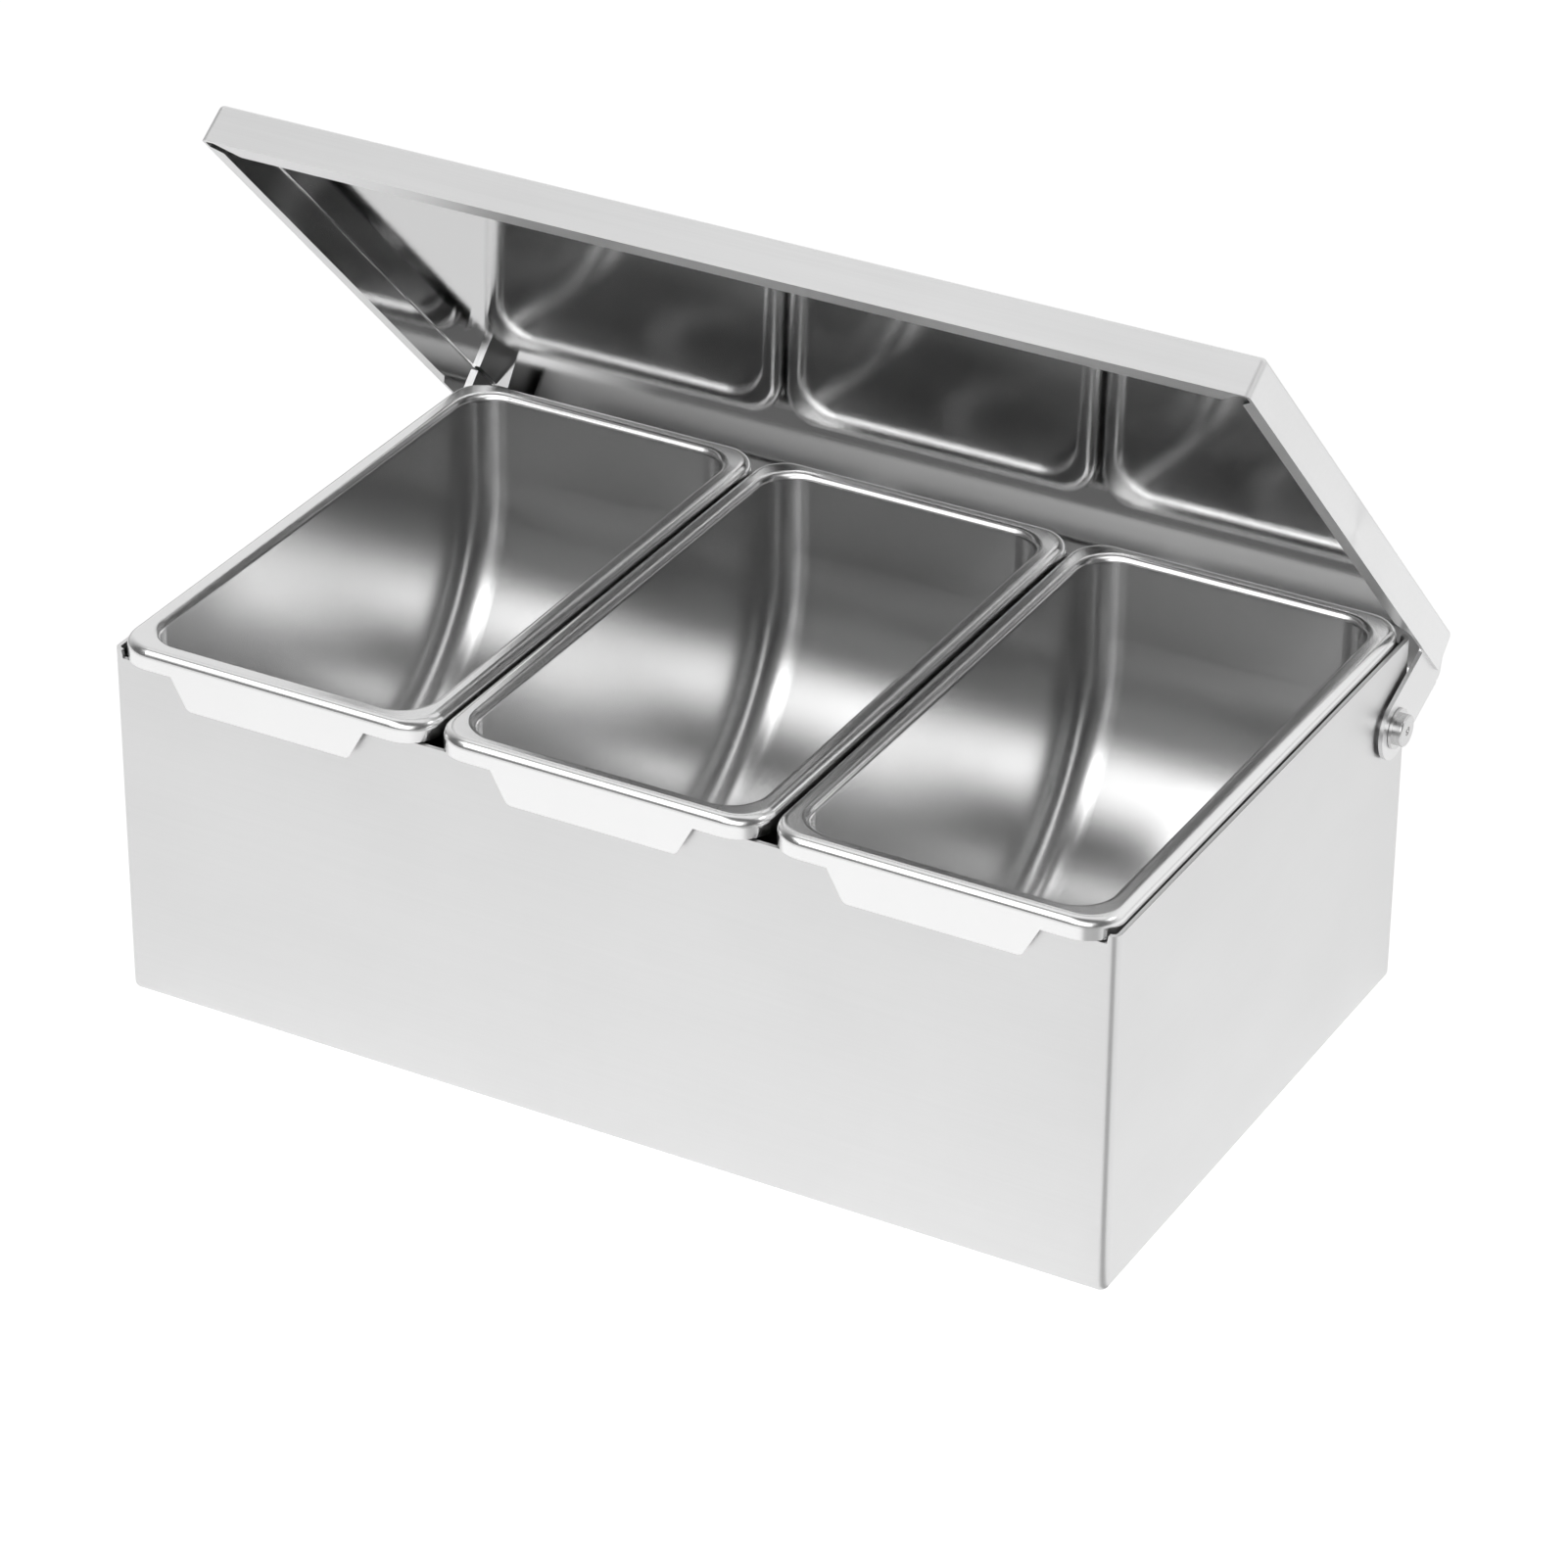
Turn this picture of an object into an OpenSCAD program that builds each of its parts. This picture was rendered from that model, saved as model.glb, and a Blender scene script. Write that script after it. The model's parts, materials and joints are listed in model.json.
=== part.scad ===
// Condiment caddy: a bent sheet housing holds three lift-out pans
// under one hinged lid. Millimetres, +Z up, +Y to the rear. The origin
// is the centre of the plane that the rubber feet stand on.

/* [Housing] */
// Width over the side walls
body_w = 300; // [270:1:340]
// Depth over the front and rear walls
body_d = 178; // [165:1:210]
// Height of the walls from their bottom edge to their top edge
body_h = 107.2; // [100:0.1:130]
// Sheet thickness of the housing
wall_t = 1.2; // [0.9:0.1:1.5]
// Outside radius of the upright corner bends
corner_r = 2.5; // [2.3:0.1:4]
// Outside radius of the bend along the bottom edge
bottom_bend_r = 2; // [1.7:0.1:2.2]
// Width of the flange that turns in under the walls
return_w = 22; // [21:0.5:26]
// Thickness of the floor plate that lies on that flange
base_t = 1.2; // [0.8:0.1:2]
// Height of the rails that the pans hang on
rail_h = 20; // [16:0.5:26]
// Thickness of the rails
rail_t = 1; // [0.8:0.1:1.2]
// Distance of a rail's strip below the lowered wall tops
rail_step = 3; // [1:0.5:5]
// Distance that a rail's tongues stay off the rims' corners
tongue_inset = 1; // [0.5:0.1:5]
// Distance that a lowered wall top ends before the corner bends
relief_inset = 0.2; // [0.1:0.1:0.6]
// Distance that each end of a lowered wall top slants
relief_slant = 0.4; // [0.4:0.1:1.2]

/* [Feet] */
// Diameter of a rubber foot
foot_d = 14; // [10:0.5:15]
// Height of a foot under the housing
foot_h = 2; // [1.5:0.1:6]
// Distance from the outside faces to the middle of a foot
foot_inset = 13; // [12:0.5:13.5]
// Radius of the edge round the foot's tread
foot_edge_r = 0.5; // [0.2:0.1:1]
// Diameter of the foot's stem
stem_d = 5; // [4:0.1:6]
// Diameter of the bulb that locks the stem above the floor plate
bulb_d = 6.4; // [6.2:0.1:8]
// Height of that bulb
bulb_h = 1.4; // [1:0.1:3]

/* [Pans] */
// Gap between the rims of neighbouring pans
pan_gap = 1.6; // [0.4:0.1:2]
// Gap between the outer rims and the side walls
pan_side_gap = 0.4; // [0.3:0.1:1]
// Distance that the rims stand in front of the front wall
rim_front_reach = 2.8; // [2:0.1:3.4]
// Distance that the rims stand behind the rear wall
rim_rear_reach = 1.6; // [1.3:0.1:2]
// Height of the rims above the wall tops
rim_rise = 4; // [3:0.1:4.6]
// Width of a rim from the mouth to its outer face
rim_w = 6.5; // [6.1:0.1:8]
// Outside radius of the bend from the pan wall to the rim
mouth_bend_r = 2.2; // [1:0.1:2.4]
// Outside radius of the bend from the rim to its lip
rim_bend_r = 2.8; // [1:0.1:3.2]
// Radius of the rim's outer corners, seen from above
rim_corner_r = 10.5; // [8:0.5:14]
// Height of the lip from the top of the rim to its lower edge
lip_drop = 6; // [5:0.1:8]
// Sheet thickness of a pan
pan_t = 0.8; // [0.5:0.1:0.9]
// Depth of a pan from the top of its rim to its floor
pan_depth = 100.3; // [92:0.1:101]
// Radius of the long sweep from the rear wall to the floor
sweep_r = 75; // [40:1:85]
// Radius of the bend from the floor to the front wall
toe_r = 25; // [16:1:40]
// Radius of the blend along both sides of a pan
fillet_r = 10; // [5:0.5:14]

/* [Pull tabs] */
// Width of a tab where it leaves the lip
tab_w = 60.5; // [40:0.5:70]
// Distance that each end of a tab slants in
tab_slant = 5; // [2:0.5:8]
// Height from the top of the rim to the lower edge of a tab
tab_drop = 15.1; // [12:0.1:20]
// Radius of a tab's lower corners
tab_corner_r = 2; // [1:0.1:3]

/* [Lid] */
// Distance that the lid reaches past each side wall
lid_side_reach = 3.1; // [3.1:0.1:4.5]
// Distance that the lid's front fold lies before the front wall
lid_front_reach = 15; // [9:0.5:16]
// Distance that the lid's rear fold lies behind the rear wall
lid_rear_reach = 1.3; // [1:0.1:2]
// Height of the lid's skirt
skirt_h = 11.6; // [11.5:0.1:14]
// Distance that the front skirt slants outward
front_flare = 1.7; // [0:0.1:3]
// Distance that the rear skirt slants outward
rear_flare = 4; // [3.6:0.1:5]
// Sheet thickness of the lid
lid_t = 1; // [0.8:0.1:1.1]
// Outside radius of the lid's folds
fold_r = 1.5; // [1.2:0.1:2.5]
// Width of the hem turned in along the front skirt
front_hem_w = 6; // [3:0.5:7]
// Distance that the side hems end before the pivot
side_hem_setback = 15; // [14:0.5:30]
// Distance that the rear end of a side hem tapers
hem_taper = 6; // [3:0.5:12]
// Gap between a side hem and the front hem at the mitred corner
hem_corner_gap = 2.5; // [1:0.1:5]
// Distance that each end of the rear skirt slants inward
corner_notch = 3.5; // [1:0.1:6]
// Opening angle of the lid as it stands
rest_open = 46.5; // [20:0.1:95]

/* [Hinge] */
// Distance of the pivot before the rear face
pivot_inset = 12.2; // [11:0.1:14]
// Distance of the pivot below the wall tops
pivot_drop = 21.8; // [18:0.1:24]
// Radius of the arm's round end
arm_r = 9; // [8:0.1:11]
// Angle that the arm leans to the rear
arm_lean = 21.2; // [15:0.1:26]
// Thickness of the arm
arm_t = 1.2; // [0.8:0.1:1.4]
// Diameter of the rivet's shank
rivet_d = 6; // [4:0.1:7]
// Diameter of the rivet's head
head_d = 9; // [8.5:0.1:10]
// Height of the rivet's head
head_h = 2.5; // [2:0.1:3]
// Radius of the round edge of the rivet's head
head_edge_r = 0.6; // [0.3:0.1:1]
// Radius of the dimple in the rivet's head
dimple_r = 1.3; // [0.8:0.1:2]
// Diameter of the rivet's tail inside the wall
tail_d = 8; // [7.5:0.1:9]
// Height of the rivet's tail
tail_h = 1; // [0.6:0.1:1.5]
// Diameter of the washer under the head
washer_d = 11.5; // [10.5:0.1:14]
// Thickness of the washer under the head
washer_t = 0.8; // [0.5:0.1:1.2]
// Diameter of the spacer between the wall and the arm
spacer_d = 13; // [11:0.1:15]
// Diameter of the clinch washer inside the wall
clinch_d = 10.5; // [9.5:0.1:14]
// Thickness of the clinch washer
clinch_t = 1.5; // [1:0.1:1.8]

/* [Clearances] */
// Radial clearance of a shank in its bore
bore_fit = 0.05; // [0.02:0.01:0.1]
// End play between the arm and what lies on each side of it
arm_play = 0.1; // [0.05:0.05:0.2]
// Gap between the closed lid and the wall tops
lid_seat_gap = 0.3; // [0.2:0.1:0.6]
// Gap between the floor plate's edge and the bend round it
plate_gap = 0.3; // [0.2:0.1:1]
// Gap between the side hems and the pans' rims
hem_gap = 0.8; // [0.5:0.1:1.5]
// Gap under the pans' lips where they cross the wall tops
lip_gap = 0.4; // [0.3:0.1:1]
// Gap between the rear skirt's ends and the arms
skirt_end_gap = 0.2; // [0.1:0.1:0.5]
// Gap between the tongues' tops and the bends that hang on them
seat_gap = 0.02; // [0.01:0.01:0.1]
// Gap between the top of an arm and the round of the lid's folds
weld_gap = 0.1; // [0.05:0.05:0.5]

/* [Hidden] */
$fn = 96;

steel = "silver";
polished_steel = "gainsboro";
rubber = "dimgray";

// Heights
shell_bottom = foot_h;
wall_top = shell_bottom + body_h;
flange_top = shell_bottom + wall_t;
base_top = flange_top + base_t;
rim_top = wall_top + rim_rise;
pan_floor = rim_top - pan_depth;
mouth_z = rim_top - mouth_bend_r;
lip_bottom = rim_top - lip_drop;
lowered_top = lip_bottom - lip_gap;
lid_bottom = wall_top + lid_seat_gap;
lid_top = lid_bottom + skirt_h;

// Pans: rim outline, then the mouth inside it
rim_edge_x = body_w / 2 - wall_t - pan_side_gap;
pan_w = (2 * rim_edge_x - 2 * pan_gap) / 3;
pan_pitch = pan_w + pan_gap;
rim_front = -body_d / 2 - rim_front_reach;
rim_rear = body_d / 2 + rim_rear_reach;
pan_d = rim_rear - rim_front;
pan_mid_y = (rim_front + rim_rear) / 2;
mouth_x = pan_w / 2 - rim_w;
mouth_front = rim_front + rim_w;
mouth_rear = rim_rear - rim_w;

// Hinge
pivot_y = body_d / 2 - pivot_inset;
pivot_z = wall_top - pivot_drop;
shank_r = rivet_d / 2;
bore_r = shank_r + bore_fit;
arm_outer_x = body_w / 2 + lid_side_reach - lid_t;
arm_inner_x = arm_outer_x - arm_t;
spacer_t = arm_inner_x - arm_play - body_w / 2;
washer_x = arm_outer_x + arm_play;
head_x = washer_x + washer_t;
clinch_x = body_w / 2 - wall_t - clinch_t;

// Lid
lid_x = body_w / 2 + lid_side_reach;
lid_front = -body_d / 2 - lid_front_reach;
lid_rear = body_d / 2 + lid_rear_reach;
side_hem_x = rim_edge_x + hem_gap;
side_hem_end = pivot_y - side_hem_setback;

// Distance that a cutting shape reaches past what it cuts
cut = 1;

// A rectangle with round corners, centred on the origin
module round_rect(w, d, r) {
  square([w - 2 * r, d], center = true);
  square([w, d - 2 * r], center = true);
  for (x = [-1, 1], y = [-1, 1])
    translate([x * (w / 2 - r), y * (d / 2 - r)]) circle(r);
}

// A quarter of a ring in the first quadrant
module quarter_ring(r, t) {
  intersection() {
    difference() {
      circle(r);
      circle(r - t);
    }
    square(r);
  }
}

// Sweeps a section round a rectangle with round corners. The section's
// x is 0 on that outline and grows outward, and its y is the height.
module ring_sweep(w, d, r) {
  for (side = [0 : 3]) {
    half = side % 2 == 0 ? w / 2 : d / 2;
    run = (side % 2 == 0 ? d : w) - 2 * r;
    rotate([0, 0, 90 * side]) {
      translate([half, run / 2, 0]) rotate([90, 0, 0]) linear_extrude(run) children();
      translate([half - r, run / 2, 0]) rotate_extrude(angle = 90) translate([r, 0]) children();
    }
  }
}

// Turns a shape drawn along Z so that it lies along X on the pivot.
// side is -1 at the left and 1 at the right, and Z points outward.
module on_pivot(side, x) {
  translate([side * x, pivot_y, pivot_z]) rotate([0, side * 90, 0]) children();
}

// Opens what is drawn with the lid shut
module as_it_stands() {
  translate([0, pivot_y, pivot_z]) rotate([-rest_open, 0, 0])
    translate([0, -pivot_y, -pivot_z]) children();
}

// Puts a foot or its hole at every corner that is asked for
module at_foot(side, end) {
  translate([side * (body_w / 2 - foot_inset), end * (body_d / 2 - foot_inset), 0]) children();
}

module stem_holes() {
  for (side = [-1, 1], end = [-1, 1])
    at_foot(side, end) translate([0, 0, shell_bottom - cut])
      cylinder(h = base_top - shell_bottom + 2 * cut, r = stem_d / 2 + bore_fit);
}

// Housing

// The front and rear wall tops are lowered where the pans' lips cross
module wall_relief() {
  half = body_w / 2 - corner_r - relief_inset;
  translate([0, body_d / 2 + cut, 0]) rotate([90, 0, 0]) linear_extrude(body_d + 2 * cut)
    polygon([
      [relief_slant - half, lowered_top],
      [-half, wall_top],
      [-half, wall_top + cut],
      [half, wall_top + cut],
      [half, wall_top],
      [half - relief_slant, lowered_top]
    ]);
}

module body_shell() {
  straight_bottom = shell_bottom + bottom_bend_r;
  color(steel) difference() {
    union() {
      translate([0, 0, straight_bottom]) linear_extrude(wall_top - straight_bottom) difference() {
        round_rect(body_w, body_d, corner_r);
        round_rect(body_w - 2 * wall_t, body_d - 2 * wall_t, corner_r - wall_t);
      }
      ring_sweep(body_w, body_d, corner_r)
        translate([-bottom_bend_r, straight_bottom]) mirror([0, 1]) quarter_ring(bottom_bend_r, wall_t);
      translate([0, 0, shell_bottom]) linear_extrude(wall_t) difference() {
        round_rect(body_w - 2 * bottom_bend_r, body_d - 2 * bottom_bend_r, corner_r - bottom_bend_r);
        square([body_w - 2 * return_w, body_d - 2 * return_w], center = true);
      }
    }
    wall_relief();
    stem_holes();
    for (side = [-1, 1])
      on_pivot(side, body_w / 2 - wall_t - cut) cylinder(h = wall_t + 2 * cut, r = bore_r);
  }
}

module base_plate() {
  plate_inset = bottom_bend_r + plate_gap;
  color(steel) difference() {
    translate([0, 0, flange_top]) linear_extrude(base_t)
      square([body_w - 2 * plate_inset, body_d - 2 * plate_inset], center = true);
    stem_holes();
  }
}

// How far the underside of a bend drops at a distance past its axis
function bend_drop(r, past) = r - pan_t - sqrt(pow(r - pan_t, 2) - pow(past, 2));

// A strip welded inside the front or rear wall. Three tongues stand up
// from it between the rims' corners, and each carries one pan's rim.
module pan_rail(end) {
  inner_face = body_d / 2 - wall_t - rail_t;
  past_mouth_bend = (end > 0 ? mouth_rear : -mouth_front) + mouth_bend_r - inner_face;
  drop = past_mouth_bend > 0 ? bend_drop(mouth_bend_r, past_mouth_bend) + seat_gap : 0;
  rail_top = rim_top - pan_t - drop;
  rail_bottom = rail_top - rail_h;
  rail_half = body_w / 2 - corner_r;
  tongue_half = pan_w / 2 - rim_corner_r - tongue_inset;
  outer_face = body_d / 2 - wall_t;
  color(steel) translate([0, end > 0 ? outer_face : rail_t - outer_face, rail_bottom])
    rotate([90, 0, 0]) linear_extrude(rail_t) {
      translate([-rail_half, 0]) square([2 * rail_half, lowered_top - rail_step - rail_bottom]);
      for (place = [-1 : 1])
        translate([place * pan_pitch - tongue_half, 0]) square([2 * tongue_half, rail_h]);
    }
}

module front_pan_rail() { pan_rail(-1); }

module rear_pan_rail() { pan_rail(1); }

// Pans. The bowl's section runs along its path down the rear wall, over
// the floor and up the front wall. Its x is the distance out from the
// inside face, and its y lies along the width.

module bowl_section() {
  flat_half = mouth_x - fillet_r;
  translate([0, -flat_half]) square([pan_t, 2 * flat_half]);
  for (side = [-1, 1])
    translate([-fillet_r, side * flat_half]) scale([1, side]) quarter_ring(fillet_r + pan_t, pan_t);
}

// Lays the section's plane at a point of the path, facing that way
module on_path(y, z, facing) {
  translate([0, y, z]) rotate([90, 0, 90]) rotate([0, 0, facing]) children();
}

module bowl_run(y, z, facing, length) {
  on_path(y, z, facing) rotate([90, 0, 0]) linear_extrude(length) bowl_section();
}

module bowl_bend(y, z, facing, r) {
  on_path(y, z, facing) rotate_extrude(angle = 90) translate([r, 0]) bowl_section();
}

// Outline of a flat side, which ends where the blend round it starts
module side_outline() {
  front = mouth_front + fillet_r;
  rear = mouth_rear - fillet_r;
  bottom = pan_floor + fillet_r;
  toe = toe_r - fillet_r;
  sweep = sweep_r - fillet_r;
  difference() {
    translate([front, bottom]) square([rear - front, mouth_z - bottom]);
    translate([front, bottom]) difference() {
      square(toe);
      translate([toe, toe]) circle(toe);
    }
    translate([rear - sweep, bottom]) difference() {
      square(sweep);
      translate([0, sweep]) circle(sweep);
    }
  }
}

module bowl() {
  bowl_run(mouth_rear, mouth_z, 0, mouth_z - pan_floor - sweep_r);
  bowl_bend(mouth_rear - sweep_r, pan_floor + sweep_r, -90, sweep_r);
  bowl_run(mouth_rear - sweep_r, pan_floor, -90, mouth_rear - sweep_r - mouth_front - toe_r);
  bowl_bend(mouth_front + toe_r, pan_floor + toe_r, 180, toe_r);
  bowl_run(mouth_front, pan_floor + toe_r, 180, mouth_z - pan_floor - toe_r);
  for (side = [-1, 1])
    translate([side > 0 ? mouth_x : -mouth_x - pan_t, 0, 0])
      rotate([90, 0, 90]) linear_extrude(pan_t) side_outline();
}

// The rim bends out of the mouth, runs level and turns down to its lip
module rim() {
  bend_half_x = mouth_x + mouth_bend_r;
  mouth_d = mouth_rear - mouth_front;
  translate([0, pan_mid_y, 0]) {
    ring_sweep(2 * mouth_x, mouth_d, fillet_r)
      translate([mouth_bend_r, mouth_z]) mirror([1, 0]) quarter_ring(mouth_bend_r, pan_t);
    translate([0, 0, rim_top - pan_t]) linear_extrude(pan_t) difference() {
      round_rect(pan_w - 2 * rim_bend_r, pan_d - 2 * rim_bend_r, rim_corner_r - rim_bend_r);
      round_rect(2 * bend_half_x, mouth_d + 2 * mouth_bend_r, fillet_r + mouth_bend_r);
    }
    ring_sweep(pan_w, pan_d, rim_corner_r)
      translate([-rim_bend_r, rim_top - rim_bend_r]) quarter_ring(rim_bend_r, pan_t);
    translate([0, 0, lip_bottom]) linear_extrude(lip_drop - rim_bend_r) difference() {
      round_rect(pan_w, pan_d, rim_corner_r);
      round_rect(pan_w - 2 * pan_t, pan_d - 2 * pan_t, rim_corner_r - pan_t);
    }
  }
}

// The tab carries the front lip on downward, with slanted ends
module pull_tab() {
  tab_h = tab_drop - lip_drop;
  slant = atan2(tab_slant, tab_h);
  // Distance along the lower edge from the sharp corner to the round
  tangent = tab_corner_r * tan((90 - slant) / 2);
  low = tab_w / 2 - tab_slant;
  low_y = lip_bottom - tab_h;
  translate([0, rim_front + pan_t, 0]) rotate([90, 0, 0]) linear_extrude(pan_t) {
    polygon([
      [-tab_w / 2, lip_bottom],
      [-low - tangent * sin(slant), low_y + tangent * cos(slant)],
      [-low + tangent, low_y],
      [low - tangent, low_y],
      [low + tangent * sin(slant), low_y + tangent * cos(slant)],
      [tab_w / 2, lip_bottom]
    ]);
    for (side = [-1, 1])
      translate([side * (low - tangent), low_y + tab_corner_r]) circle(tab_corner_r);
  }
}

module pan(place) {
  color(polished_steel) translate([place * pan_pitch, 0, 0]) {
    bowl();
    rim();
    pull_tab();
  }
}

module pan_left() { pan(-1); }

module pan_middle() { pan(0); }

module pan_right() { pan(1); }

// Lid, drawn shut and then opened

// A small dome that rounds one upper corner of the tray
module fold_corner(x, y, z, r) {
  translate([x, y, z - r]) rotate_extrude($fn = 24)
    polygon([[0, 0], for (a = [0 : 15 : 90]) [r * cos(a), r * sin(a)]]);
}

// The tray's outside, or its hollow when inset is the sheet thickness.
// The foot of the hollow reaches below the skirt along the same slants.
module tray_form(inset, below) {
  r = fold_r - inset;
  share = (skirt_h + below) / skirt_h;
  low_r = max(r, 0.2);
  hull() {
    for (side = [-1, 1]) {
      fold_corner(side * (lid_x - fold_r), lid_front + fold_r, lid_top - inset, r);
      fold_corner(side * (lid_x - fold_r), lid_rear - fold_r, lid_top - inset, r);
      translate([side * (lid_x - fold_r), lid_front - front_flare * share + fold_r, lid_bottom - below])
        cylinder(h = 0.01, r = low_r, $fn = 24);
      translate([side * (lid_x - fold_r), lid_rear + rear_flare * share - fold_r, lid_bottom - below])
        cylinder(h = 0.01, r = low_r, $fn = 24);
    }
  }
}

// The rear skirt stops short of the side skirts, with slanted ends
module rear_corner_relief(side) {
  inner = lid_rear - lid_t;
  end_x = arm_inner_x - skirt_end_gap;
  low = lid_bottom - cut;
  high = lid_top - fold_r;
  translate([0, lid_rear + rear_flare + cut, 0]) rotate([90, 0, 0])
    linear_extrude(lid_rear + rear_flare + cut - inner)
      polygon([
        [side * end_x, low],
        [side * (end_x - corner_notch), high],
        [side * (lid_x + cut), high],
        [side * (lid_x + cut), low]
      ]);
}

module side_hem(side) {
  outer = lid_x - lid_t;
  front = lid_front + hem_corner_gap;
  translate([0, 0, lid_bottom]) linear_extrude(lid_t)
    polygon([
      [side * outer, front],
      [side * side_hem_x, front + outer - side_hem_x],
      [side * side_hem_x, side_hem_end - hem_taper],
      [side * outer, side_hem_end]
    ]);
}

module front_hem() {
  outer = lid_front - front_flare + lid_t;
  inner = outer + front_hem_w;
  end_x = lid_x - lid_t - hem_corner_gap;
  translate([0, 0, lid_bottom]) linear_extrude(lid_t)
    polygon([
      [-end_x, outer],
      [end_x, outer],
      [end_x - front_hem_w, inner],
      [-end_x + front_hem_w, inner]
    ]);
}

module lid_tray() {
  color(steel) as_it_stands() {
    difference() {
      tray_form(0, 0);
      tray_form(lid_t, cut);
      for (side = [-1, 1]) rear_corner_relief(side);
    }
    for (side = [-1, 1]) side_hem(side);
    front_hem();
  }
}

// A slot-shaped plate that leans from the pivot to the lid. Its top is
// cut back so that it fits inside the skirt.
module arm_outline() {
  rear_limit = lid_rear + rear_flare;
  top_z = lid_top - fold_r - weld_gap;
  // Distance along the arm to the lid's lower edge, at the arm's front
  front_rise = (lid_bottom - pivot_z - arm_r * sin(arm_lean)) / cos(arm_lean);
  // and to the foot of the rear skirt, at the arm's rear
  rear_rise = (rear_limit - pivot_y - arm_r * cos(arm_lean)) / sin(arm_lean);
  front_y = pivot_y - arm_r * cos(arm_lean) + front_rise * sin(arm_lean);
  difference() {
    union() {
      translate([pivot_y, pivot_z]) rotate(-arm_lean) difference() {
        polygon([[-arm_r, -arm_r], [-arm_r, front_rise], [arm_r, rear_rise], [arm_r, -arm_r]]);
        difference() {
          translate([-arm_r, -arm_r]) square([2 * arm_r, arm_r]);
          circle(arm_r);
        }
      }
      polygon([
        [front_y, lid_bottom],
        [front_y, top_z],
        [lid_rear - fold_r, top_z],
        [rear_limit, lid_bottom + lid_t],
        [rear_limit, lid_bottom - lid_t],
        [front_y + arm_r, lid_bottom - arm_r]
      ]);
    }
    translate([pivot_y, pivot_z]) circle(bore_r);
  }
}

module hinge_arm(side) {
  color(steel) as_it_stands()
    translate([side > 0 ? arm_inner_x : -arm_outer_x, 0, 0])
      rotate([90, 0, 90]) linear_extrude(arm_t) arm_outline();
}

module hinge_arm_left() { hinge_arm(-1); }

module hinge_arm_right() { hinge_arm(1); }

// Pivot hardware

// Half the section of a disc with a rounded upper edge
module disc_section(r, h, edge) {
  square([r - edge, h]);
  square([r, h - edge]);
  translate([r - edge, h - edge]) circle(edge);
}

module flat_washer(side, x, d, t) {
  color(steel) on_pivot(side, x) difference() {
    cylinder(h = t, r = d / 2);
    translate([0, 0, -cut]) cylinder(h = t + 2 * cut, r = bore_r);
  }
}

// One rivet: tail inside the wall, shank through the stack, dimpled head
module pivot_rivet(side) {
  color(polished_steel) {
    on_pivot(side, clinch_x - tail_h) cylinder(h = tail_h, r = tail_d / 2);
    on_pivot(side, clinch_x) cylinder(h = head_x - clinch_x, r = shank_r);
    on_pivot(side, head_x) difference() {
      rotate_extrude() disc_section(head_d / 2, head_h, head_edge_r);
      translate([0, 0, head_h]) sphere(dimple_r);
    }
  }
}

module pivot_rivet_left() { pivot_rivet(-1); }

module pivot_rivet_right() { pivot_rivet(1); }

module outer_washer_left() { flat_washer(-1, washer_x, washer_d, washer_t); }

module outer_washer_right() { flat_washer(1, washer_x, washer_d, washer_t); }

module spacer_washer_left() { flat_washer(-1, body_w / 2, spacer_d, spacer_t); }

module spacer_washer_right() { flat_washer(1, body_w / 2, spacer_d, spacer_t); }

module clinch_washer_left() { flat_washer(-1, clinch_x, clinch_d, clinch_t); }

module clinch_washer_right() { flat_washer(1, clinch_x, clinch_d, clinch_t); }

// Feet

// A pushed-in bumper: tread under the housing, stem through both sheets,
// bulb above the floor plate
module foot(side, end) {
  color(rubber) at_foot(side, end) {
    translate([0, 0, foot_h]) mirror([0, 0, 1])
      rotate_extrude() disc_section(foot_d / 2, foot_h, foot_edge_r);
    translate([0, 0, foot_h]) cylinder(h = base_top - foot_h, r = stem_d / 2);
    translate([0, 0, base_top]) cylinder(h = bulb_h, r = bulb_d / 2);
  }
}

module foot_front_left() { foot(-1, -1); }

module foot_front_right() { foot(1, -1); }

module foot_rear_left() { foot(-1, 1); }

module foot_rear_right() { foot(1, 1); }

body_shell();
base_plate();
front_pan_rail();
rear_pan_rail();
pan_left();
pan_middle();
pan_right();
lid_tray();
hinge_arm_left();
hinge_arm_right();
pivot_rivet_left();
pivot_rivet_right();
outer_washer_left();
outer_washer_right();
spacer_washer_left();
spacer_washer_right();
clinch_washer_left();
clinch_washer_right();
foot_front_left();
foot_front_right();
foot_rear_left();
foot_rear_right();
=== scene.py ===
import json
import math

import bpy
from mathutils import Matrix, Vector


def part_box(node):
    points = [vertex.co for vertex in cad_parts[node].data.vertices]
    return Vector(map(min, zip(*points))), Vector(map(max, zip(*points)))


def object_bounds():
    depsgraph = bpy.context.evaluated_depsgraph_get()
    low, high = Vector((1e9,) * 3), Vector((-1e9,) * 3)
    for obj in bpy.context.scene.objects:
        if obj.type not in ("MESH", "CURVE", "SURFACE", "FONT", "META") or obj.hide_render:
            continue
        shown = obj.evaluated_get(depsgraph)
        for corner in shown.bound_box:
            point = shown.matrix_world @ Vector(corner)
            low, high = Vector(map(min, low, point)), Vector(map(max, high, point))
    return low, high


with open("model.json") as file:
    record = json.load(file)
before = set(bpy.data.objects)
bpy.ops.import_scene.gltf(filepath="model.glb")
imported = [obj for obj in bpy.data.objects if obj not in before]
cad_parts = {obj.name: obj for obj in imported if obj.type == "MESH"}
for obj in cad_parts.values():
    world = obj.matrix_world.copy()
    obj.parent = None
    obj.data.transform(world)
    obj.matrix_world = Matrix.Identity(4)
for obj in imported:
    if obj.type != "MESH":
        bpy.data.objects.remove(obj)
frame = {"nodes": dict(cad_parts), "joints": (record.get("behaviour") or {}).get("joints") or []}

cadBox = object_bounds()
nodes = frame["nodes"]
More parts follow.
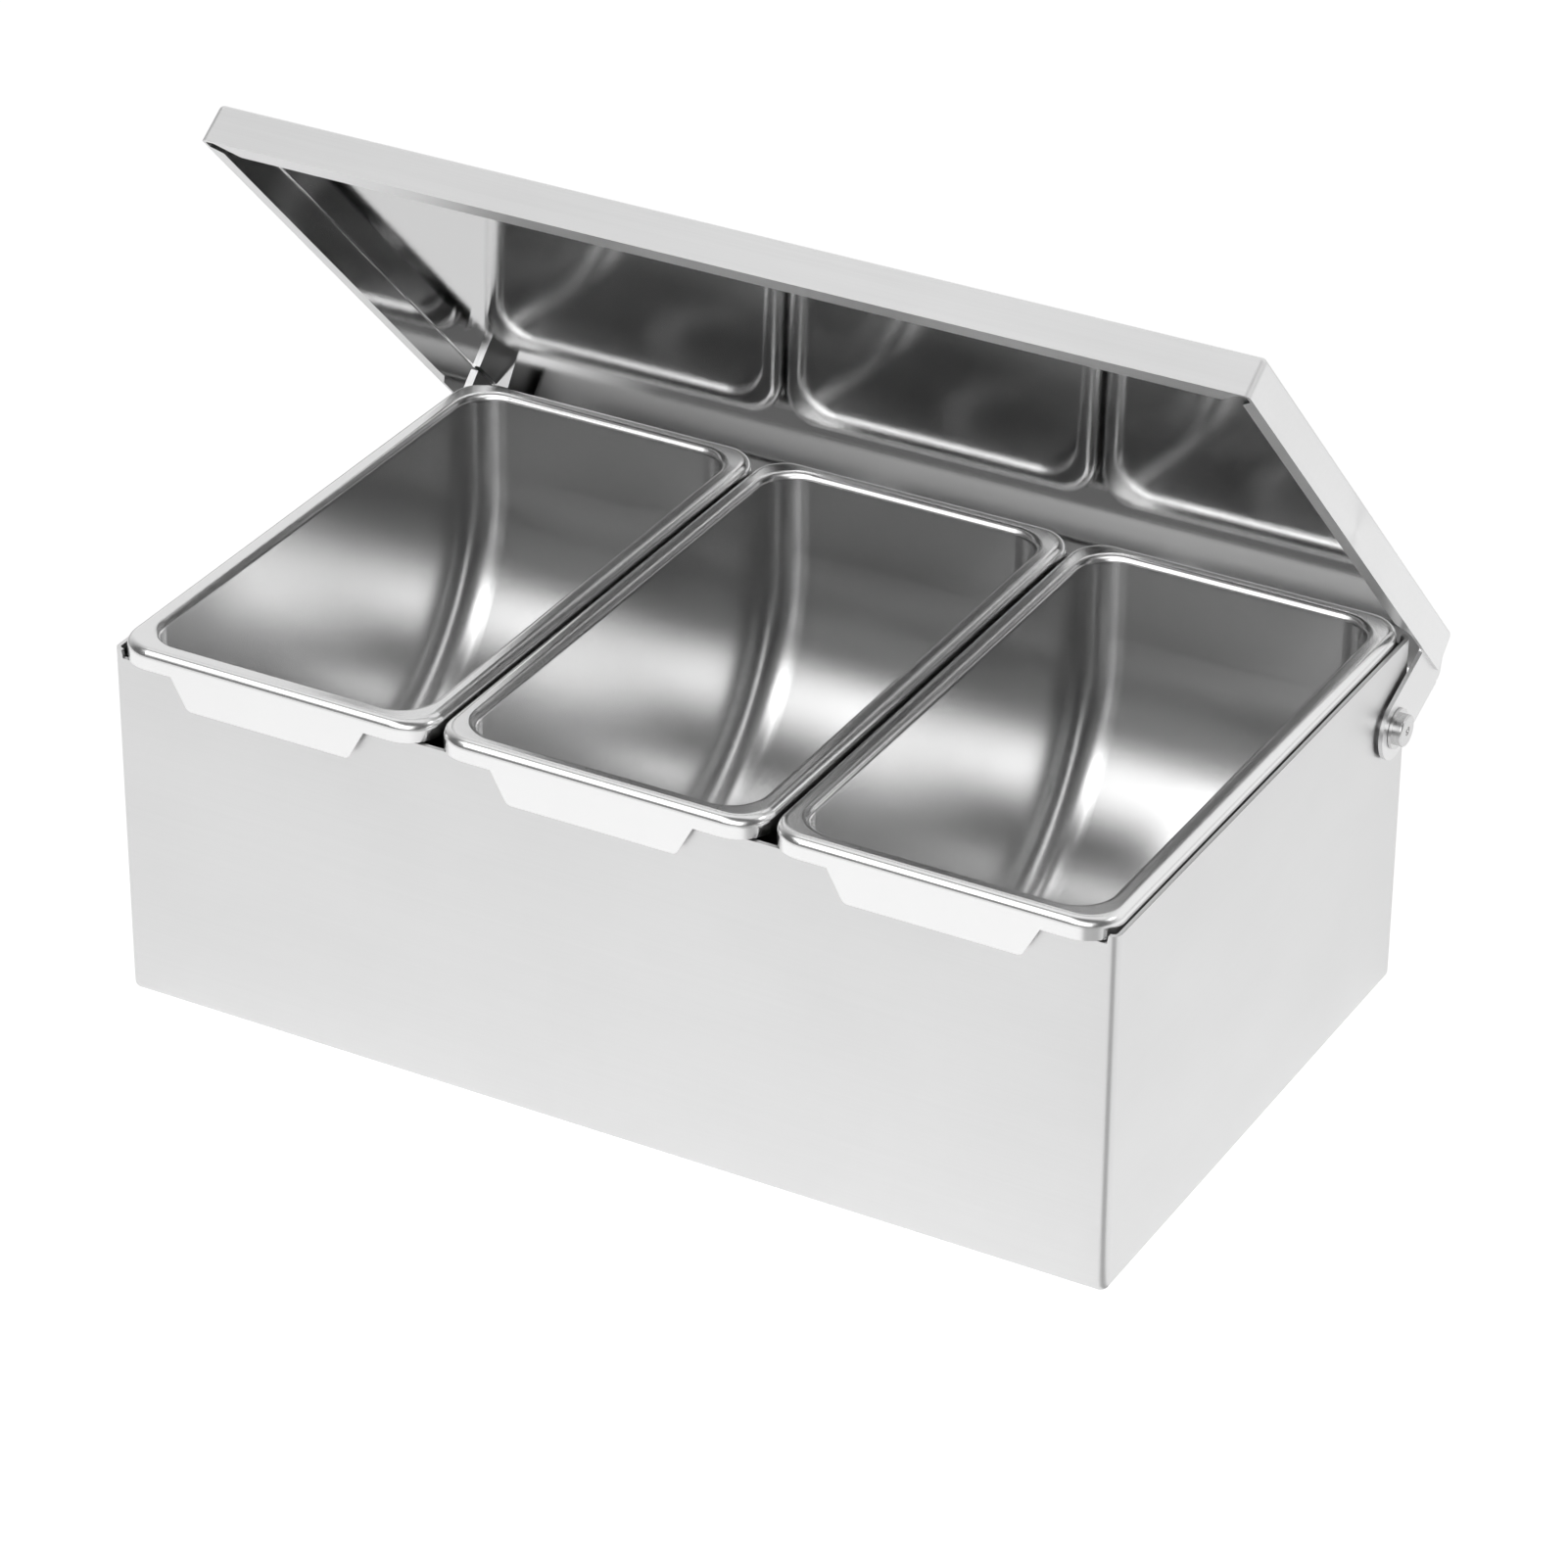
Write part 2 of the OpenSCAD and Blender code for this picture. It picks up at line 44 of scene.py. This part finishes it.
hinge = next(j for j in frame["joints"] if j["name"] == "lid_hinge")
print("frame loaded:", len(nodes), "nodes")


# Camera
cameraView = {
    "azimuth": 28.860,       # degrees, 0 looks along +Y
    "elevation": 30.284,     # degrees above the horizon
    "roll": 0.375,           # degrees, level lines fall to the right
    "distance": 1.69987,     # metres from the plane through the target
    "slideRight": 0.00587,   # metres, along the view's own right
    "slideUp": 0.05447,      # metres, along the view's own up
    "lens": 140.775,         # millimetres
    "sensor": 36,            # millimetres
    "clip": (0.05, 50),      # metres
}


def makeCamera(view, target):
    az, el, roll = (math.radians(view[k]) for k in ("azimuth", "elevation", "roll"))
    back = Vector((math.sin(az) * math.cos(el), -math.cos(az) * math.cos(el), math.sin(el)))
    levelRight = Vector((math.cos(az), math.sin(az), 0))
    levelUp = back.cross(levelRight)
    right = levelRight * math.cos(roll) + levelUp * math.sin(roll)
    up = levelUp * math.cos(roll) - levelRight * math.sin(roll)
    data = bpy.data.cameras.new("camera")
    data.lens = view["lens"]
    data.sensor_width = view["sensor"]
    data.clip_start, data.clip_end = view["clip"]
    camera = bpy.data.objects.new("camera", data)
    place = target + right * view["slideRight"] + up * view["slideUp"] + back * view["distance"]
    turned = Matrix((right, up, back)).transposed().to_4x4()
    camera.matrix_world = Matrix.Translation(place) @ turned
    bpy.context.scene.collection.objects.link(camera)
    bpy.context.scene.camera = camera


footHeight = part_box("body_shell")[0].z
makeCamera(cameraView, Vector((0, 0, footHeight)))
print("camera placed")


# Short ways to add and join shader nodes
def addNode(tree, kind, **settings):
    node = tree.nodes.new(kind)
    for key, value in settings.items():
        setattr(node, key, value)
    return node


# Links a node's output, or sets a plain value on the socket itself
def connect(tree, value, socket):
    if isinstance(value, bpy.types.NodeSocket):
        tree.links.new(value, socket)
    else:
        socket.default_value = value


def connectAll(tree, values, sockets):
    for value, socket in zip(values, sockets):
        connect(tree, value, socket)


def calculate(tree, operation, *values):
    node = addNode(tree, "ShaderNodeMath", operation=operation)
    connectAll(tree, values, node.inputs)
    return node.outputs[0]


def calculateVector(tree, operation, *values):
    node = addNode(tree, "ShaderNodeVectorMath", operation=operation)
    connectAll(tree, values, node.inputs)
    numberOut = operation in ("DOT_PRODUCT", "LENGTH")
    return node.outputs["Value" if numberOut else "Vector"]


def highest(tree, first, *others):
    for other in others:
        first = calculate(tree, "MAXIMUM", first, other)
    return first


def product(tree, first, *others):
    for other in others:
        first = calculate(tree, "MULTIPLY", first, other)
    return first


# Takes low..high to toLow..toHigh and stops at both ends
def remap(tree, value, low, high, toLow, toHigh):
    node = addNode(tree, "ShaderNodeMapRange", clamp=True)
    connectAll(tree, (value, low, high, toLow, toHigh), node.inputs)
    return node.outputs[0]


# 1 between the second and the third edge, falling to 0 at the first and the last
def band(tree, value, edges):
    start, full, fade, end = edges
    rise = remap(tree, value, start, full, 0.0, 1.0)
    fall = remap(tree, value, fade, end, 1.0, 0.0)
    return product(tree, rise, fall)


def blendColor(tree, factor, a, b, blend="MIX"):
    node = addNode(tree, "ShaderNodeMix", data_type="RGBA", blend_type=blend)
    connectAll(tree, (factor, a, b), (node.inputs["Factor"], node.inputs[6], node.inputs[7]))
    return node.outputs[2]


def blendValue(tree, factor, a, b):
    node = addNode(tree, "ShaderNodeMix", data_type="FLOAT")
    connectAll(tree, (factor, a, b), (node.inputs["Factor"], node.inputs[2], node.inputs[3]))
    return node.outputs[0]


def noise(tree, place, scale, detail=2.0, roughness=0.5):
    node = addNode(tree, "ShaderNodeTexNoise")
    connect(tree, place, node.inputs["Vector"])
    node.inputs["Scale"].default_value = scale
    node.inputs["Detail"].default_value = detail
    node.inputs["Roughness"].default_value = roughness
    return node.outputs["Fac"]


def greyFrom(tree, value):
    node = addNode(tree, "ShaderNodeCombineColor")
    connectAll(tree, (value, value, value), node.inputs)
    return node.outputs[0]


def grey(level):
    return (level, level, level, 1.0)


def splitXyz(tree, vector):
    node = addNode(tree, "ShaderNodeSeparateXYZ")
    connect(tree, vector, node.inputs[0])
    return node.outputs[0], node.outputs[1], node.outputs[2]


def objectPlace(tree):
    return addNode(tree, "ShaderNodeTexCoord").outputs["Object"]


def bump(tree, shader, height, strength, depth):
    node = addNode(tree, "ShaderNodeBump")
    node.inputs["Strength"].default_value = strength
    node.inputs["Distance"].default_value = depth
    connect(tree, height, node.inputs["Height"])
    tree.links.new(node.outputs[0], shader.inputs["Normal"])


def newGroup(name, inputs, outputs):
    tree = bpy.data.node_groups.new(name, "ShaderNodeTree")
    for socketName, kind, value in inputs:
        socket = tree.interface.new_socket(socketName, in_out="INPUT", socket_type=kind)
        socket.default_value = value
    for socketName, kind in outputs:
        tree.interface.new_socket(socketName, in_out="OUTPUT", socket_type=kind)
    return tree, addNode(tree, "NodeGroupInput"), addNode(tree, "NodeGroupOutput")


def placeGroup(tree, group, **values):
    node = addNode(tree, "ShaderNodeGroup", node_tree=group)
    for key, value in values.items():
        connect(tree, value, node.inputs[key])
    return node.outputs


def newMaterial(name):
    material = bpy.data.materials.new(name)
    material.use_nodes = True
    material.node_tree.nodes.clear()
    return material, material.node_tree


def principled(tree, metallic):
    shader = addNode(tree, "ShaderNodeBsdfPrincipled")
    output = addNode(tree, "ShaderNodeOutputMaterial")
    tree.links.new(shader.outputs[0], output.inputs["Surface"])
    shader.inputs["Metallic"].default_value = metallic
    return shader


# Brush lines: fine noise over coarse noise, both drawn out by Stretch, and
# soft patches that aren't drawn out
brushLines = {
    "fineDetail": 3.0,
    "fineRoughness": 0.65,
    "fineShare": 0.62,
    "coarseStretch": (0.4, 0.22, 0.22),   # times the fine lines' own stretch
    "coarseShare": 0.38,
    "patchScale": 14.0,
}


def buildBrushedGrain(look):
    tree, given, out = newGroup(
        "brushedGrain",
        [("Place", "NodeSocketVector", (0, 0, 0)), ("Stretch", "NodeSocketVector", (20, 2600, 2600))],
        [("Lines", "NodeSocketFloat"), ("Patches", "NodeSocketFloat")])
    place = given.outputs["Place"]
    stretched = calculateVector(tree, "MULTIPLY", place, given.outputs["Stretch"])
    fine = noise(tree, stretched, 1.0, look["fineDetail"], look["fineRoughness"])
    coarse = noise(tree, calculateVector(tree, "MULTIPLY", stretched, look["coarseStretch"]), 1.0)
    fine = product(tree, fine, look["fineShare"])
    coarse = product(tree, coarse, look["coarseShare"])
    lines = calculate(tree, "SUBTRACT", calculate(tree, "ADD", fine, coarse), 0.5)   # 0 on average
    connect(tree, lines, out.inputs["Lines"])
    connect(tree, noise(tree, place, look["patchScale"]), out.inputs["Patches"])
    return tree


# Faint hand smears and specks of dust that only dull the gloss
handMarks = {
    "smearStretch": (1, 1, 1.6),
    "smearScale": 22.0,
    "smearDetail": 4.0,
    "smearRoughness": 0.55,
    "smearRange": (0.42, 0.7),
    "speckScale": 420.0,
    "speckDetail": 1.0,
    "speckRange": (0.68, 0.8),
    "speckShare": 0.12,
}


def buildHandling(look):
    tree, given, out = newGroup(
        "handling",
        [("Place", "NodeSocketVector", (0, 0, 0)), ("Amount", "NodeSocketFloat", 0.05)],
        [("Haze", "NodeSocketFloat")])
    place = given.outputs["Place"]
    smearPlace = calculateVector(tree, "MULTIPLY", place, look["smearStretch"])
    smear = noise(tree, smearPlace, look["smearScale"], look["smearDetail"], look["smearRoughness"])
    speck = noise(tree, place, look["speckScale"], look["speckDetail"])
    soft = remap(tree, smear, *look["smearRange"], 0.0, 1.0)
    dots = remap(tree, speck, *look["speckRange"], 0.0, look["speckShare"])
    haze = product(tree, calculate(tree, "ADD", soft, dots), given.outputs["Amount"])
    connect(tree, haze, out.inputs["Haze"])
    return tree


brushedGrain = buildBrushedGrain(brushLines)
handling = buildHandling(handMarks)
print("shader groups built")


# Housing sheet
housingSteel = {
    "level": 0.75,               # base reflectance
    "levelSwing": 0.03,          # how much the brush lines change it
    "patchRange": (0.3, 0.7),    # the patches' own values that count as dark and bright
    "patchSwing": 0.015,         # share of the level that they change
    "roughness": 0.36,
    "roughnessSwing": 0.10,
    "stretch": (16, 16, 2400),   # brush lines run level round the walls
    "bumpStrength": 0.05,
    "bumpDepth": 0.0002,         # metres
    "haze": 0.04,
}


def brushedMaterial(name, look, placeOf=objectPlace):
    material, tree = newMaterial(name)
    shader = principled(tree, 1.0)
    place = placeOf(tree)
    grain = placeGroup(tree, brushedGrain, Place=place, Stretch=look["stretch"])
    haze = placeGroup(tree, handling, Place=place, Amount=look["haze"])["Haze"]
    lines = grain["Lines"]
    level = calculate(tree, "MULTIPLY_ADD", lines, look["levelSwing"] * 2, look["level"])
    darkest, brightest = 1.0 - look["patchSwing"], 1.0 + look["patchSwing"]
    patch = remap(tree, grain["Patches"], *look["patchRange"], darkest, brightest)
    connect(tree, greyFrom(tree, product(tree, level, patch)), shader.inputs["Base Color"])
    rough = calculate(tree, "MULTIPLY_ADD", lines, look["roughnessSwing"] * 2, look["roughness"])
    connect(tree, calculate(tree, "ADD", rough, haze), shader.inputs["Roughness"])
    bump(tree, shader, lines, look["bumpStrength"], look["bumpDepth"])
    return material, tree, shader


housingMaterial = brushedMaterial("housingSteel", housingSteel)[0]


# Lid sheet: brushed outside, bright inside
lidSteel = {
    **housingSteel,
    "level": 0.86,
    "levelSwing": 0.05,
    "roughness": 0.4,
    "stretch": (14, 2400, 2400),   # brush lines run along the hinge
    "acrossLines": 0.5,            # how far the gloss spreads across the brush lines
    "insideLevel": 0.94,
    "insideRoughness": 0.05,
    "insideHaze": 0.03,
}

pivot = Vector(hinge["pos_m"])
restOpen = -math.radians(hinge["range_deg"][0])


# Turns a direction, or a point as seen from the pivot, to where it is with the lid shut
def asShut(tree, vector):
    node = addNode(tree, "ShaderNodeVectorRotate", rotation_type="X_AXIS")
    connect(tree, vector, node.inputs["Vector"])
    node.inputs["Angle"].default_value = restOpen
    return node.outputs[0]


def lidPlace(tree):
    return asShut(tree, calculateVector(tree, "SUBTRACT", objectPlace(tree), pivot))


# The middle of the lid's hollow with the lid shut, seen from the pivot
def hollowMiddle():
    shut = Matrix.Rotation(restOpen, 3, "X")
    points = [shut @ (v.co - pivot) for v in nodes["lid_tray"].data.vertices]
    depths = [p.y for p in points]
    heights = [p.z for p in points]
    return (0, (max(depths) + min(depths)) / 2, (max(heights) + min(heights)) / 2)


def lidMaterialOf(look):
    material, tree, shader = brushedMaterial("lidSteel", look, lidPlace)
    place = lidPlace(tree)
    facing = asShut(tree, addNode(tree, "ShaderNodeTexCoord").outputs["Normal"])
    toMiddle = calculateVector(tree, "SUBTRACT", hollowMiddle(), place)
    inward = calculateVector(tree, "DOT_PRODUCT", facing, toMiddle)
    inside = calculate(tree, "GREATER_THAN", inward, 0.0)
    outsideColor = shader.inputs["Base Color"].links[0].from_socket
    outsideRough = shader.inputs["Roughness"].links[0].from_socket
    color = blendColor(tree, inside, outsideColor, grey(look["insideLevel"]))
    connect(tree, color, shader.inputs["Base Color"])
    haze = placeGroup(tree, handling, Place=place, Amount=look["insideHaze"])["Haze"]
    insideRough = calculate(tree, "ADD", haze, look["insideRoughness"])
    connect(tree, blendValue(tree, inside, outsideRough, insideRough), shader.inputs["Roughness"])
    across = addNode(tree, "ShaderNodeTangent", direction_type="RADIAL", axis="X")
    tree.links.new(across.outputs[0], shader.inputs["Tangent"])
    shader.inputs["Anisotropic"].default_value = look["acrossLines"]
    return material


lidMaterial = lidMaterialOf(lidSteel)


# Hinge arms: brushed outside, with painted shade on the side that faces the box
armSteel = {
    **housingSteel,
    "level": 0.8,
    "roughness": 0.3,
    "stretch": (2400, 2400, 20),   # brush lines stand upright at rest
    # painted shade: the darker colour of the faces towards the box
    "innerShadeLevel": 0.25,
    "innerBelow": -0.05,           # X times the normal's X is below this where a face looks at the box
}


def armMaterialOf(look):
    material, tree, shader = brushedMaterial("armSteel", look)
    coords = addNode(tree, "ShaderNodeTexCoord")
    sideways = calculateVector(tree, "MULTIPLY", coords.outputs["Object"], (1, 0, 0))
    outward = calculateVector(tree, "DOT_PRODUCT", sideways, coords.outputs["Normal"])
    inner = calculate(tree, "LESS_THAN", outward, look["innerBelow"])
    outside = shader.inputs["Base Color"].links[0].from_socket
    # painted shade: faces that look at the box take the dark colour
    connect(tree, blendColor(tree, inner, outside, grey(look["innerShadeLevel"])), shader.inputs["Base Color"])
    return material


armMaterial = armMaterialOf(armSteel)


# Pans: half polished, with a painted highlight: a lighter colour on the lip
panSteel = {
    "level": 0.82,
    # painted highlight: the lip's lighter colour
    "lipHighlightLevel": 0.92,
    "lipWidth": 0.0026,            # metres in from the pan's outermost edges
    "roughness": 0.24,
    "lipRoughness": 0.2,
    "drawLines": (260, 260, 18),   # faint draw marks run down the walls
    "lineSwing": 0.02,
    "bumpStrength": 0.02,
    "bumpDepth": 0.0002,           # metres
    "haze": 0.03,
}


def panMaterialOf(look, name):
    material, tree = newMaterial("panSteel_" + name)
    shader = principled(tree, 1.0)
    low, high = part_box(name)
    half = (high - low) / 2
    place = objectPlace(tree)
    fromMiddle = calculateVector(tree, "SUBTRACT", place, (low + high) / 2)
    x, y = splitXyz(tree, calculateVector(tree, "ABSOLUTE", fromMiddle))[:2]
    width = look["lipWidth"]
    nearX = remap(tree, x, half.x - width, half.x - width / 2, 0.0, 1.0)
    nearY = remap(tree, y, half.y - width, half.y - width / 2, 0.0, 1.0)
    lip = highest(tree, nearX, nearY)
    lines = placeGroup(tree, brushedGrain, Place=place, Stretch=look["drawLines"])["Lines"]
    haze = placeGroup(tree, handling, Place=place, Amount=look["haze"])["Haze"]
    # painted highlight: the lip takes the lighter colour
    color = blendColor(tree, lip, grey(look["level"]), grey(look["lipHighlightLevel"]))
    shade = calculate(tree, "MULTIPLY_ADD", lines, look["lineSwing"] * 2, 1.0)
    connect(tree, blendColor(tree, 1.0, color, shade, "MULTIPLY"), shader.inputs["Base Color"])
    rough = blendValue(tree, lip, look["roughness"], look["lipRoughness"])
    connect(tree, calculate(tree, "ADD", rough, haze), shader.inputs["Roughness"])
    bump(tree, shader, lines, look["bumpStrength"], look["bumpDepth"])
    return material


# Rivets and washers: bright steel with short marks all ways
rivetSteel = {
    "level": 0.7,
    "markLevel": 0.93,           # share of the level that is left in the marks
    "markRange": (-0.2, 0.2),    # the lines' own values that count as mark and as plain
    "roughness": 0.22,
    "stretch": (900, 900, 900),
    "haze": 0.06,
}


def rivetMaterialOf(look):
    material, tree = newMaterial("rivetSteel")
    shader = principled(tree, 1.0)
    place = objectPlace(tree)
    lines = placeGroup(tree, brushedGrain, Place=place, Stretch=look["stretch"])["Lines"]
    haze = placeGroup(tree, handling, Place=place, Amount=look["haze"])["Haze"]
    plain = remap(tree, lines, *look["markRange"], 0.0, 1.0)
    color = blendColor(tree, plain, grey(look["level"] * look["markLevel"]), grey(look["level"]))
    connect(tree, color, shader.inputs["Base Color"])
    connect(tree, calculate(tree, "ADD", haze, look["roughness"]), shader.inputs["Roughness"])
    return material


rivetMaterial = rivetMaterialOf(rivetSteel)


# Rubber feet
footRubber = {
    "color": (0.02, 0.02, 0.021, 1.0),
    "dustyColor": (0.045, 0.044, 0.043, 1.0),
    "roughness": 0.62,
    "dustyRoughness": 0.85,
    "dustScale": 160.0,
    "dustDetail": 3.0,
    "dustRange": (0.45, 0.7),
    "poreScale": 1800.0,
    "grainRoughness": 0.6,   # of both the dust's and the pores' noise
    "bumpStrength": 0.2,
    "bumpDepth": 0.0002,     # metres
}


def rubberMaterialOf(look):
    material, tree = newMaterial("footRubber")
    shader = principled(tree, 0.0)
    place = objectPlace(tree)
    dust = noise(tree, place, look["dustScale"], look["dustDetail"], look["grainRoughness"])
    dust = remap(tree, dust, *look["dustRange"], 0.0, 1.0)
    connect(tree, blendColor(tree, dust, look["color"], look["dustyColor"]), shader.inputs["Base Color"])
    rough = remap(tree, dust, 0.0, 1.0, look["roughness"], look["dustyRoughness"])
    connect(tree, rough, shader.inputs["Roughness"])
    pores = noise(tree, place, look["poreScale"], roughness=look["grainRoughness"])
    bump(tree, shader, pores, look["bumpStrength"], look["bumpDepth"])
    return material


rubberMaterial = rubberMaterialOf(footRubber)

finishes = {
    "body_shell": housingMaterial,
    "base_plate": housingMaterial,
    "front_pan_rail": housingMaterial,
    "rear_pan_rail": housingMaterial,
    "lid_tray": lidMaterial,
}


def finishOf(name):
    if name in finishes:
        return finishes[name]
    if name.startswith("pan_"):
        return panMaterialOf(panSteel, name)
    if name.startswith("hinge_arm"):
        return armMaterial
    if name.startswith("foot_"):
        return rubberMaterial
    return rivetMaterial


for name, node in nodes.items():
    node.data.materials.clear()
    node.data.materials.append(finishOf(name))
print("finishes set on", len(nodes), "nodes")


# How the paper under the caddy darkens in reflections. Shares are of the
# caddy's own reach along that axis, and the bands give where each shade
# starts, is full, stops being full and ends.
paperShade = {
    "remains": 0.12,                        # share of the paper's glow that remains in full shade
    "leftFrom": 0.9,                        # share of the left reach where its left side begins
    "behindFrom": 0.8,                      # share of the rear reach where the shade behind begins
    "slant": 0.8,                           # metres back for each metre to the left
    "behindBand": (0.0, 0.05, 0.16, 0.34),  # metres
    "rightFade": (0.85, 1.05),              # shares of the right reach where the shade behind fades
    "shadePatchCorner": (0.96, 0.9),              # shares of the right and front reach the painted dark patch turns round
    "shadePatchBand": (0.05, 0.25, 0.9, 1.2),     # radians from straight ahead towards the right
    "shadePatchDepth": 0.6,
    "besideOut": (0.03, 0.07),              # metres out to the left, where the side shade starts and is full
    "besideBack": (0.03, 0.09),             # metres along Y, the same
    "besideDepth": 0.4,
}


# 1 in the open, and less where shade is painted: behind the caddy, on a painted dark patch before
# its right front corner, and out to the left from its rear half on
def openPaper(tree, place, look):
    low, high = cadBox
    x, y = splitXyz(tree, place)[:2]
    outLeft = highest(tree, calculate(tree, "SUBTRACT", low[0] * look["leftFrom"], x), 0.0)
    edge = calculate(tree, "MULTIPLY_ADD", outLeft, look["slant"], high[1] * look["behindFrom"])
    behind = band(tree, calculate(tree, "SUBTRACT", y, edge), look["behindBand"])
    fadeStart, fadeEnd = (high[0] * share for share in look["rightFade"])
    behind = product(tree, behind, remap(tree, x, fadeStart, fadeEnd, 1.0, 0.0))
    # painted shade: a dark patch on the paper before the right front corner, seen only in reflections
    toRight = calculate(tree, "SUBTRACT", x, high[0] * look["shadePatchCorner"][0])
    ahead = calculate(tree, "SUBTRACT", low[1] * look["shadePatchCorner"][1], y)
    turn = calculate(tree, "ARCTAN2", toRight, ahead)
    shadePatch = product(tree, band(tree, turn, look["shadePatchBand"]), look["shadePatchDepth"])
    beside = remap(tree, outLeft, *look["besideOut"], 0.0, look["besideDepth"])
    beside = product(tree, beside, remap(tree, y, *look["besideBack"], 0.0, 1.0))
    dark = highest(tree, behind, shadePatch, beside)
    return remap(tree, dark, 0.0, 1.0, 1.0, look["remains"])


# White paper floor
paper = {
    "size": 12.0,               # metres
    "white": 0.8,
    "glow": 0.78,               # what the camera sees of it, besides the light on it
    "nearGlow": 0.72,           # the same for reflections, close to the caddy
    "farGlow": 0.3,             # and far from it
    "glowReach": (0.3, 1.4),    # metres, where the near glow ends and the far one starts
}


def makeFloor(look, shade):
    half = look["size"] / 2
    corners = [(-half, -half, 0), (half, -half, 0), (half, half, 0), (-half, half, 0)]
    mesh = bpy.data.meshes.new("floor")
    mesh.from_pydata(corners, [], [(0, 1, 2, 3)])
    floor = bpy.data.objects.new("floor", mesh)
    bpy.context.scene.collection.objects.link(floor)
    material, tree = newMaterial("floorPaper")
    rays = addNode(tree, "ShaderNodeLightPath").outputs
    place = objectPlace(tree)
    away = calculateVector(tree, "LENGTH", place)
    openness = openPaper(tree, place, shade)
    reflected = remap(tree, away, *look["glowReach"], look["nearGlow"], look["farGlow"])
    reflected = product(tree, rays["Is Glossy Ray"], reflected, openness)
    direct = highest(tree, rays["Is Camera Ray"], rays["Is Transmission Ray"])
    direct = product(tree, direct, look["glow"])
    glow = addNode(tree, "ShaderNodeEmission")
    connect(tree, highest(tree, direct, reflected), glow.inputs["Strength"])
    shaded = product(tree, openness, look["white"])
    white = blendValue(tree, rays["Is Glossy Ray"], look["white"], shaded)
    sheet = addNode(tree, "ShaderNodeBsdfDiffuse")
    connect(tree, greyFrom(tree, white), sheet.inputs["Color"])
    both = addNode(tree, "ShaderNodeAddShader")
    connectAll(tree, (sheet.outputs[0], glow.outputs[0]), both.inputs)
    output = addNode(tree, "ShaderNodeOutputMaterial")
    tree.links.new(both.outputs[0], output.inputs["Surface"])
    mesh.materials.append(material)


# Soft boxes and ceiling, painted on the sky by its direction's own X, Y and
# Z. The bands give where a box starts, is full, stops being full and ends.
studioSky = {
    "ceiling": 0.16,
    "rear": 1.1,                              # sky behind the caddy
    "rearRise": (-0.2, 0.5),                  # along Y, where the ceiling turns into it
    "frontLevels": (3.5, 2.4),                # wide box before the caddy, at its left and right
    "frontFade": (-0.5, 0.4),                 # along X, where it goes from one to the other
    "frontTilt": 0.25,                        # how much its height drops to the right
    "frontBand": (0.12, 0.38, 0.64, 0.84),    # along Z
    "frontSides": (-0.64, -0.38, 0.5, 0.66),  # along X
    "frontDepth": (-0.34, -0.12),             # along Y, where it stops being full and ends
    "topLevel": 1.2,                          # box overhead, a little to the rear
    "topBand": (-0.2, -0.04, 0.3, 0.45),      # along Y
    "topHeight": (0.74, 0.86),                # along Z, where it starts and is full
    "diffuse": 0.3,                           # the whole sky as light on the paper and the feet
    "background": 1.0,                        # and as the camera sees it
}


def makeSky(look):
    world = bpy.data.worlds.new("studioSky")
    bpy.context.scene.world = world
    world.use_nodes = True
    tree = world.node_tree
    tree.nodes.clear()
    x, y, z = splitXyz(tree, addNode(tree, "ShaderNodeTexCoord").outputs["Generated"])
    base = remap(tree, y, *look["rearRise"], look["ceiling"], look["rear"])
    leveled = calculate(tree, "ADD", z, product(tree, x, look["frontTilt"]))
    front = product(
        tree,
        band(tree, leveled, look["frontBand"]),
        band(tree, x, look["frontSides"]),
        remap(tree, y, *look["frontDepth"], 1.0, 0.0),
        remap(tree, x, *look["frontFade"], *look["frontLevels"]))
    overhead = remap(tree, z, *look["topHeight"], 0.0, look["topLevel"])
    top = product(tree, band(tree, y, look["topBand"]), overhead)
    rays = addNode(tree, "ShaderNodeLightPath").outputs
    strength = blendValue(tree, rays["Is Diffuse Ray"], highest(tree, base, front, top), look["diffuse"])
    strength = blendValue(tree, rays["Is Camera Ray"], strength, look["background"])
    back = addNode(tree, "ShaderNodeBackground")
    connect(tree, strength, back.inputs["Strength"])
    output = addNode(tree, "ShaderNodeOutputWorld")
    tree.links.new(back.outputs[0], output.inputs["Surface"])


lamps = {
    "keyLamp": {"place": (-0.9, -1.1, 1.5), "aim": (0, 0, 0.1), "size": (0.9, 0.5), "power": 1.0},
    "fillLamp": {"place": (1.4, 0.2, 1.2), "aim": (0, 0, 0.1), "size": (0.6, 0.6), "power": 1.5},
}


def makeLamp(name, look):
    data = bpy.data.lights.new(name, "AREA")
    data.shape = "RECTANGLE"
    data.size, data.size_y = look["size"]
    data.energy = look["power"]
    lamp = bpy.data.objects.new(name, data)
    lamp.location = look["place"]
    lamp.rotation_mode = "QUATERNION"
    lamp.rotation_quaternion = (Vector(look["aim"]) - Vector(look["place"])).to_track_quat("-Z", "Y")
    lamp.visible_camera = False
    bpy.context.scene.collection.objects.link(lamp)


makeFloor(paper, paperShade)
makeSky(studioSky)
for name, look in lamps.items():
    makeLamp(name, look)
bpy.context.scene.view_settings.view_transform = "Standard"
print("studio set")
